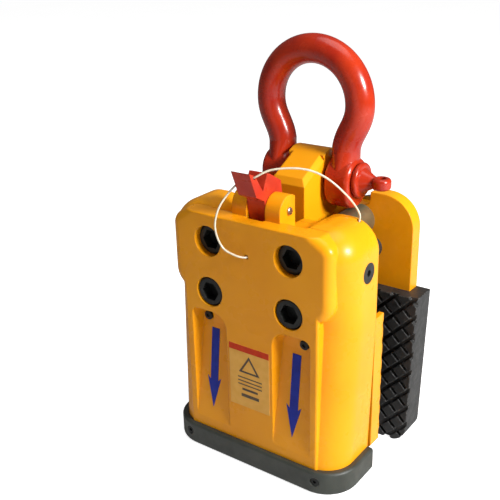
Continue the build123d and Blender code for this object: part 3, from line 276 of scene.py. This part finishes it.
def plates(name, outlines, front, back, material):
    """Flat pieces standing on the casing's front: each outline holds (x, z) points."""
    points, faces = [], []
    for outline in outlines:
        first, count = len(points), len(outline)
        points += [at(x, front, z) for x, z in outline] + [at(x, back, z) for x, z in outline]
        faces.append(tuple(range(first, first + count)))
        faces.append(tuple(range(first + 2 * count - 1, first + count - 1, -1)))
        for i in range(count):
            j = (i + 1) % count
            faces.append((first + i, first + count + i, first + count + j, first + j))
    return mesh_object(name, points, faces, material)


# ------------------------------ label --------------------------------------
def bar(x0, x1, z0, z1):
    """A rectangle's (x, z) corners."""
    return [(x0, z0), (x1, z0), (x1, z1), (x0, z1)]


def triangle_frame(middle, low, half, high, width):
    """Three strips round a triangle."""
    outer = [(middle - half, low), (middle + half, low), (middle, high)]
    centre = (middle, low + (high - low) / 3)
    inner = [(centre[0] + (x - centre[0]) * width, centre[1] + (z - centre[1]) * width) for x, z in outer]
    return [[outer[i], outer[(i + 1) % 3], inner[(i + 1) % 3], inner[i]] for i in range(3)]


label_low, label_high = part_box("label_plate")
LABEL_HALF = label_high.x / MM
LABEL_TOP = label_high.z / MM
LABEL_FACE = (label_low.y - FRONT) / MM
BAND_HIGH = 5.5
INK_T = 0.06
TRIANGLE_DROP = (24.0, 8.5)      # its foot and its tip, down from the label's top
TRIANGLE_HALF = 10.0
TRIANGLE_HOLE = 0.70             # the inner outline is this much of the outer
# blank bars in place of text: left, right, and how far their top and bottom are down the label
BLANK_LINES = ((-11.0, 12.0, 28.0, 29.0), (-11.0, 12.0, 31.2, 32.2), (-11.0, 12.0, 34.4, 35.4),
               (-7.0, 8.0, 38.0, 40.0), (-8.0, 9.0, 43.2, 46.0))
band = plates("label_band", [bar(-LABEL_HALF, LABEL_HALF, LABEL_TOP - BAND_HIGH, LABEL_TOP)],
              LABEL_FACE - INK_T, LABEL_FACE, BAND)
triangle_low, triangle_high = (LABEL_TOP - drop for drop in TRIANGLE_DROP)
triangle = triangle_frame(0.0, triangle_low, TRIANGLE_HALF, triangle_high, TRIANGLE_HOLE)
blank_bars = [bar(left, right, LABEL_TOP - down, LABEL_TOP - up) for left, right, up, down in BLANK_LINES]
ink = plates("label_print", triangle + blank_bars, LABEL_FACE - INK_T, LABEL_FACE, INK)
for piece in (band, ink):
    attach(piece, "casing")


# ------------------------------ release wire -------------------------------
WIRE_R = 0.75 * MM
IN_LATCH = (0.0, 3.75, 243.25)       # where the wire passes through the latch
IN_SHOULDER = (67.0, 47.0, 208.0)    # its end in the casing's right shoulder
wire_front_points = [at(*p) for p in (
    (0, 3.5, 184.5), (-0.3, -1.0, 184.5), (-6.0, -5.5, 186.5), (-14.9, -9.0, 192.3), (-19.4, -11.0, 206.7),
    (-18.9, -7.0, 220.5), (-14.7, 1.0, 231.8), (-8.0, 6.0, 240.0), IN_LATCH)]
wire_rear_points = [at(*p) for p in (
    IN_LATCH, (8.0, 1.5, 246.5), (18.6, 7.6, 252.2), (36.0, 17.6, 253.2), (49.8, 25.5, 248.0),
    (62.4, 34.5, 234.7), (67.0, 47.0, 218.0), IN_SHOULDER)]
wire_front = tube("release_wire_front", smooth_path(wire_front_points, 10), WIRE_R, SLEEVE)
wire_rear = tube("release_wire_rear", smooth_path(wire_rear_points, 10), WIRE_R, SLEEVE)
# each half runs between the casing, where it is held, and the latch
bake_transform(wire_front)
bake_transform(wire_rear)
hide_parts("release_wire")
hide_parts("release_wire")


# ------------------------------ return springs -----------------------------
SPRING_START, SPRING_END = 22.0, 47.0
SPRING_X, SPRING_Z = 43.0, 92.0
COIL_R, COIL_WIRE_R, TURNS = 5.0, 0.8, 9
STEPS_PER_TURN = 20
for side, name in ((-1, "jaw_return_spring_left"), (1, "jaw_return_spring_right")):
    coil = []
    count = TURNS * STEPS_PER_TURN
    for i in range(count + 1):
        turn = 2 * pi * i / STEPS_PER_TURN
        y = SPRING_START + COIL_WIRE_R + (SPRING_END - SPRING_START - 2 * COIL_WIRE_R) * i / count
        coil.append(at(side * SPRING_X + COIL_R * cos(turn), y, SPRING_Z + COIL_R * sin(turn)))
    spring = tube(name, coil, COIL_WIRE_R * MM, SPRING, sides=10)
    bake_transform(spring)
    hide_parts("jaw_return_springs")


# ------------------------------ stage --------------------------------------
CAMERA_PLACE = (326.1, -435.4, 411.4)        # millimetres, from the casing's front
CAMERA_YAW, CAMERA_PITCH, CAMERA_ROLL = radians(36.56), radians(22.2), radians(-1.44)
CAMERA_LENS = 57.65
CAMERA_SHIFT = (0.0008, 0.002)


def camera():
    """Looks down on the clamp's front from its right-hand side."""
    data = bpy.data.cameras.new("camera")
    data.sensor_width = 36.0
    data.lens = CAMERA_LENS
    data.shift_x, data.shift_y = CAMERA_SHIFT
    made = bpy.data.objects.new("camera", data)
    turn = Matrix.Rotation(CAMERA_YAW, 4, "Z")
    turn = turn @ Matrix.Rotation(pi / 2 - CAMERA_PITCH, 4, "X")
    turn = turn @ Matrix.Rotation(CAMERA_ROLL, 4, "Z")
    made.matrix_world = Matrix.Translation(at(*CAMERA_PLACE)) @ turn
    bpy.context.scene.collection.objects.link(made)
    bpy.context.scene.camera = made


def area_light(name, place, target, size, power):
    """A round white soft box; place, target and size in metres, power in watts."""
    data = bpy.data.lights.new(name, "AREA")
    data.shape = "DISK"
    data.size = size
    data.energy = power
    made = bpy.data.objects.new(name, data)
    made.location = place
    made.rotation_euler = (Vector(target) - Vector(place)).to_track_quat("-Z", "Y").to_euler()
    bpy.context.scene.collection.objects.link(made)


FLOOR_HALF = 12.0            # metres
FLOOR_DROP = 0.0003          # keeps the foot's underside clear of the floor
FLOOR_LIFT = 0.88
FLOOR_SHEEN = 0.1
WORLD_LIGHT = 0.16
WORLD_REFLECTED = 0.12


def floor():
    """A wide pale floor that the camera sees nearly white."""
    signs = ((-1, -1), (1, -1), (1, 1), (-1, 1))
    corners = [Vector((x * FLOOR_HALF, y * FLOOR_HALF, -FLOOR_DROP)) for x, y in signs]
    pale = finish("pale_floor", rgb(0.60, 0.60, 0.60), rgb(0.64, 0.64, 0.64), 3.0, 0.9)
    # a lift the camera alone sees, so the floor stays pale and keeps its contact shadow
    tree = pale.node_tree
    shader = tree.nodes["Principled BSDF"]
    seen = tree.nodes.new("ShaderNodeLightPath").outputs["Is Camera Ray"]
    lift = tree.nodes.new("ShaderNodeMath")
    lift.operation = "MULTIPLY"
    lift.inputs[1].default_value = FLOOR_LIFT
    tree.links.new(seen, lift.inputs[0])
    tree.links.new(lift.outputs[0], shader.inputs["Emission Strength"])
    shader.inputs["Emission Color"].default_value = (1.0, 1.0, 1.0, 1.0)
    shader.inputs["Specular IOR Level"].default_value = FLOOR_SHEEN
    mesh_object("floor", corners, [(0, 1, 2, 3)], pale)


def world():
    """White to the camera, a grey soft box as a light source, and darker still in reflections."""
    made = bpy.data.worlds.new("studio")
    bpy.context.scene.world = made
    made.use_nodes = True
    tree = made.node_tree
    path = tree.nodes.new("ShaderNodeLightPath")
    background = tree.nodes["Background"]
    background.inputs["Color"].default_value = (1.0, 1.0, 1.0, 1.0)

    def step(share, low, high):
        """Low where share is 0 and high where it is 1; each may be a number or a socket."""
        made_step = tree.nodes.new("ShaderNodeMapRange")
        tree.links.new(share, made_step.inputs["Value"])
        for name, value in (("To Min", low), ("To Max", high)):
            if isinstance(value, float):
                made_step.inputs[name].default_value = value
            else:
                tree.links.new(value, made_step.inputs[name])
        return made_step.outputs[0]

    lighting = step(path.outputs["Is Glossy Ray"], WORLD_LIGHT, WORLD_REFLECTED)
    tree.links.new(step(path.outputs["Is Camera Ray"], lighting, 1.0), background.inputs["Strength"])


camera()
floor()
world()
area_light("key", (1.30, -0.13, 0.85), (0.0, 0.0, 0.15), 0.40, 38.0)
area_light("top", (0.1, 0.1, 1.6), (0.0, 0.0, 0.2), 1.2, 9.0)
area_light("low_fill", (0.1, -1.2, 0.10), (0.0, 0.0, 0.05), 0.8, 0.6)
bpy.context.scene.view_settings.view_transform = "Standard"
